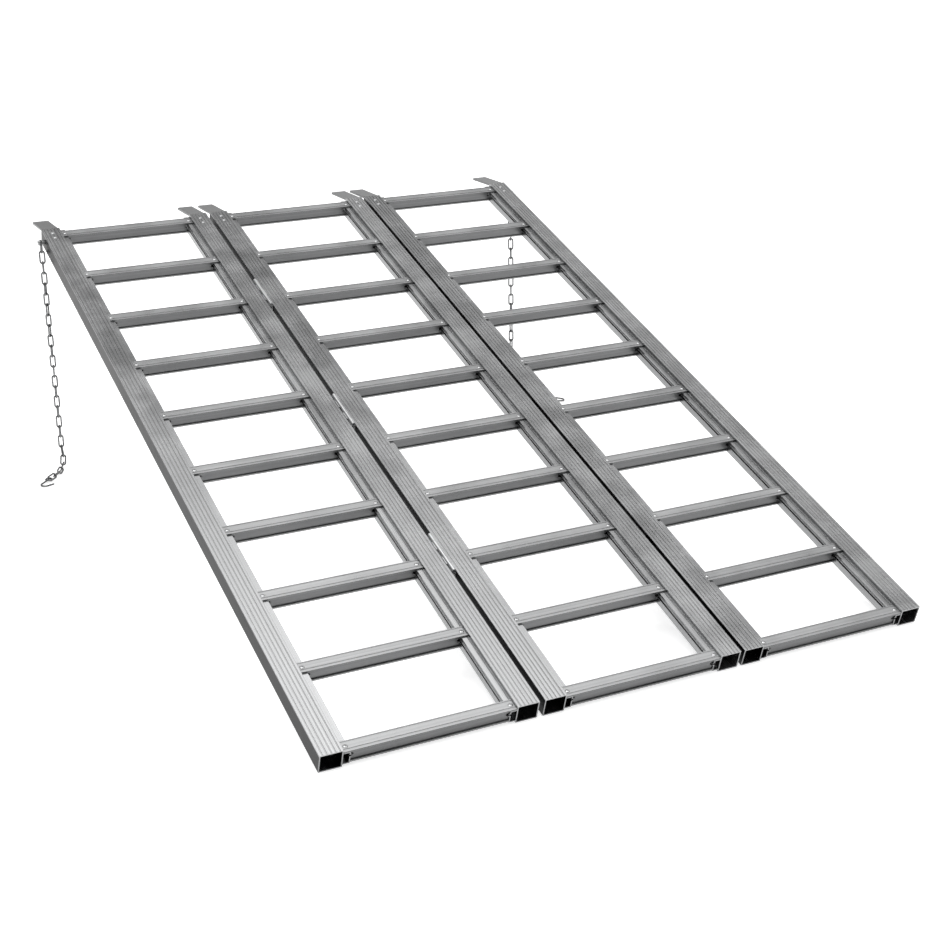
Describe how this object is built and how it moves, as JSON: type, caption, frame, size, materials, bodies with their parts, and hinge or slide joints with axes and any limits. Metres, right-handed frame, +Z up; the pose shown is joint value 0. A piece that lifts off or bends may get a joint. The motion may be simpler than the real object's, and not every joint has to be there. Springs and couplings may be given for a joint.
{
  "type": "folding loading ramp",
  "caption": "Folding aluminium loading ramp: hinged ladder panels with box rails, ribbed rungs, level lip tongues and safety chains with hooks.",
  "frame": {"origin": "on the ground, under the middle of the ramp's outline without the chains", "axes": "+Y runs from the foot of the ramp towards the vehicle, +Z up, +X across to the right of someone walking up"},
  "size_m": [1.4696, 1.8864, 0.5978],
  "materials": {
    "rails": "extruded mill finish",
    "rungs": "extruded mill finish",
    "tongues": "mill finish plate",
    "rivets": "bright",
    "hinges": "mill finish",
    "pins": "plain",
    "bolts": "zinc plated",
    "chain": "zinc plated"
  },
  "bodies": {
    "middle_panel": {"middle_rail_a": "rails", "middle_rail_b": "rails", "middle_tongue_a": "tongues", "middle_tongue_b": "tongues", "middle_rung_01": "rungs", "middle_rung_02": "rungs", "middle_rung_03": "rungs", "middle_rung_04": "rungs", "middle_rung_05": "rungs", "middle_rung_06": "rungs", "middle_rung_07": "rungs", "middle_rung_08": "rungs", "middle_rung_09": "rungs", "middle_rung_10": "rungs", "middle_rivets": "rivets", "middle_upper_leaves": "hinges", "middle_lower_leaves": "hinges", "hinge_pins": "pins"},
    "left_panel": {"left_rail_a": "rails", "left_rail_b": "rails", "left_tongue_a": "tongues", "left_tongue_b": "tongues", "left_rung_01": "rungs", "left_rung_02": "rungs", "left_rung_03": "rungs", "left_rung_04": "rungs", "left_rung_05": "rungs", "left_rung_06": "rungs", "left_rung_07": "rungs", "left_rung_08": "rungs", "left_rung_09": "rungs", "left_rung_10": "rungs", "left_rivets": "rivets", "left_hinge_leaves": "hinges", "left_chain_bolt": "bolts", "left_chain_nut": "bolts"},
    "right_panel": {"right_rail_a": "rails", "right_rail_b": "rails", "right_tongue_a": "tongues", "right_tongue_b": "tongues", "right_rung_01": "rungs", "right_rung_02": "rungs", "right_rung_03": "rungs", "right_rung_04": "rungs", "right_rung_05": "rungs", "right_rung_06": "rungs", "right_rung_07": "rungs", "right_rung_08": "rungs", "right_rung_09": "rungs", "right_rung_10": "rungs", "right_rivets": "rivets", "right_hinge_leaves": "hinges", "right_chain_bolt": "bolts", "right_chain_nut": "bolts"},
    "left_chain_run": {"left_chain": "chain"},
    "left_chain_end": {"left_chain_tail": "chain", "left_chain_hook": "chain"},
    "right_chain_run": {"right_chain": "chain"},
    "right_chain_end": {"right_chain_tail": "chain", "right_chain_hook": "chain"}
  },
  "joints": [
    {"name": "left_fold", "type": "hinge", "parent": "middle_panel", "child": "left_panel", "pos_m": [-0.2127, -0.04639, 0.32207], "axis": [0, 0.9537, 0.3007], "range_deg": [0, 180]},
    {"name": "right_fold", "type": "hinge", "parent": "middle_panel", "child": "right_panel", "pos_m": [0.2139, -0.03376, 0.28201], "axis": [0, 0.9537, 0.3007], "range_deg": [0, 180]},
    {"name": "left_chain_swing", "type": "hinge", "parent": "left_panel", "child": "left_chain_run", "pos_m": [-0.644, 0.81193, 0.57015], "axis": [1, 0, 0], "range_deg": [-72.5, 0]},
    {"name": "left_chain_bend", "type": "hinge", "parent": "left_chain_run", "child": "left_chain_end", "pos_m": [-0.644, 0.81193, 0.04525], "axis": [1, 0, 0], "range_deg": [0, 90]},
    {"name": "right_chain_swing", "type": "hinge", "parent": "right_panel", "child": "right_chain_run", "pos_m": [0.644, 0.81193, 0.57015], "axis": [1, 0, 0], "range_deg": [-72.5, 0]},
    {"name": "right_chain_bend", "type": "hinge", "parent": "right_chain_run", "child": "right_chain_end", "pos_m": [0.644, 0.81193, 0.04525], "axis": [1, 0, 0], "range_deg": [0, 45]}
  ],
  "couplings": [
    {"joint": "left_chain_swing", "follows": "left_fold", "ratio": -0.40278},
    {"joint": "left_chain_bend", "follows": "left_fold", "ratio": 0.5},
    {"joint": "right_chain_swing", "follows": "right_fold", "ratio": -0.40278},
    {"joint": "right_chain_bend", "follows": "right_fold", "ratio": 0.25}
  ]
}
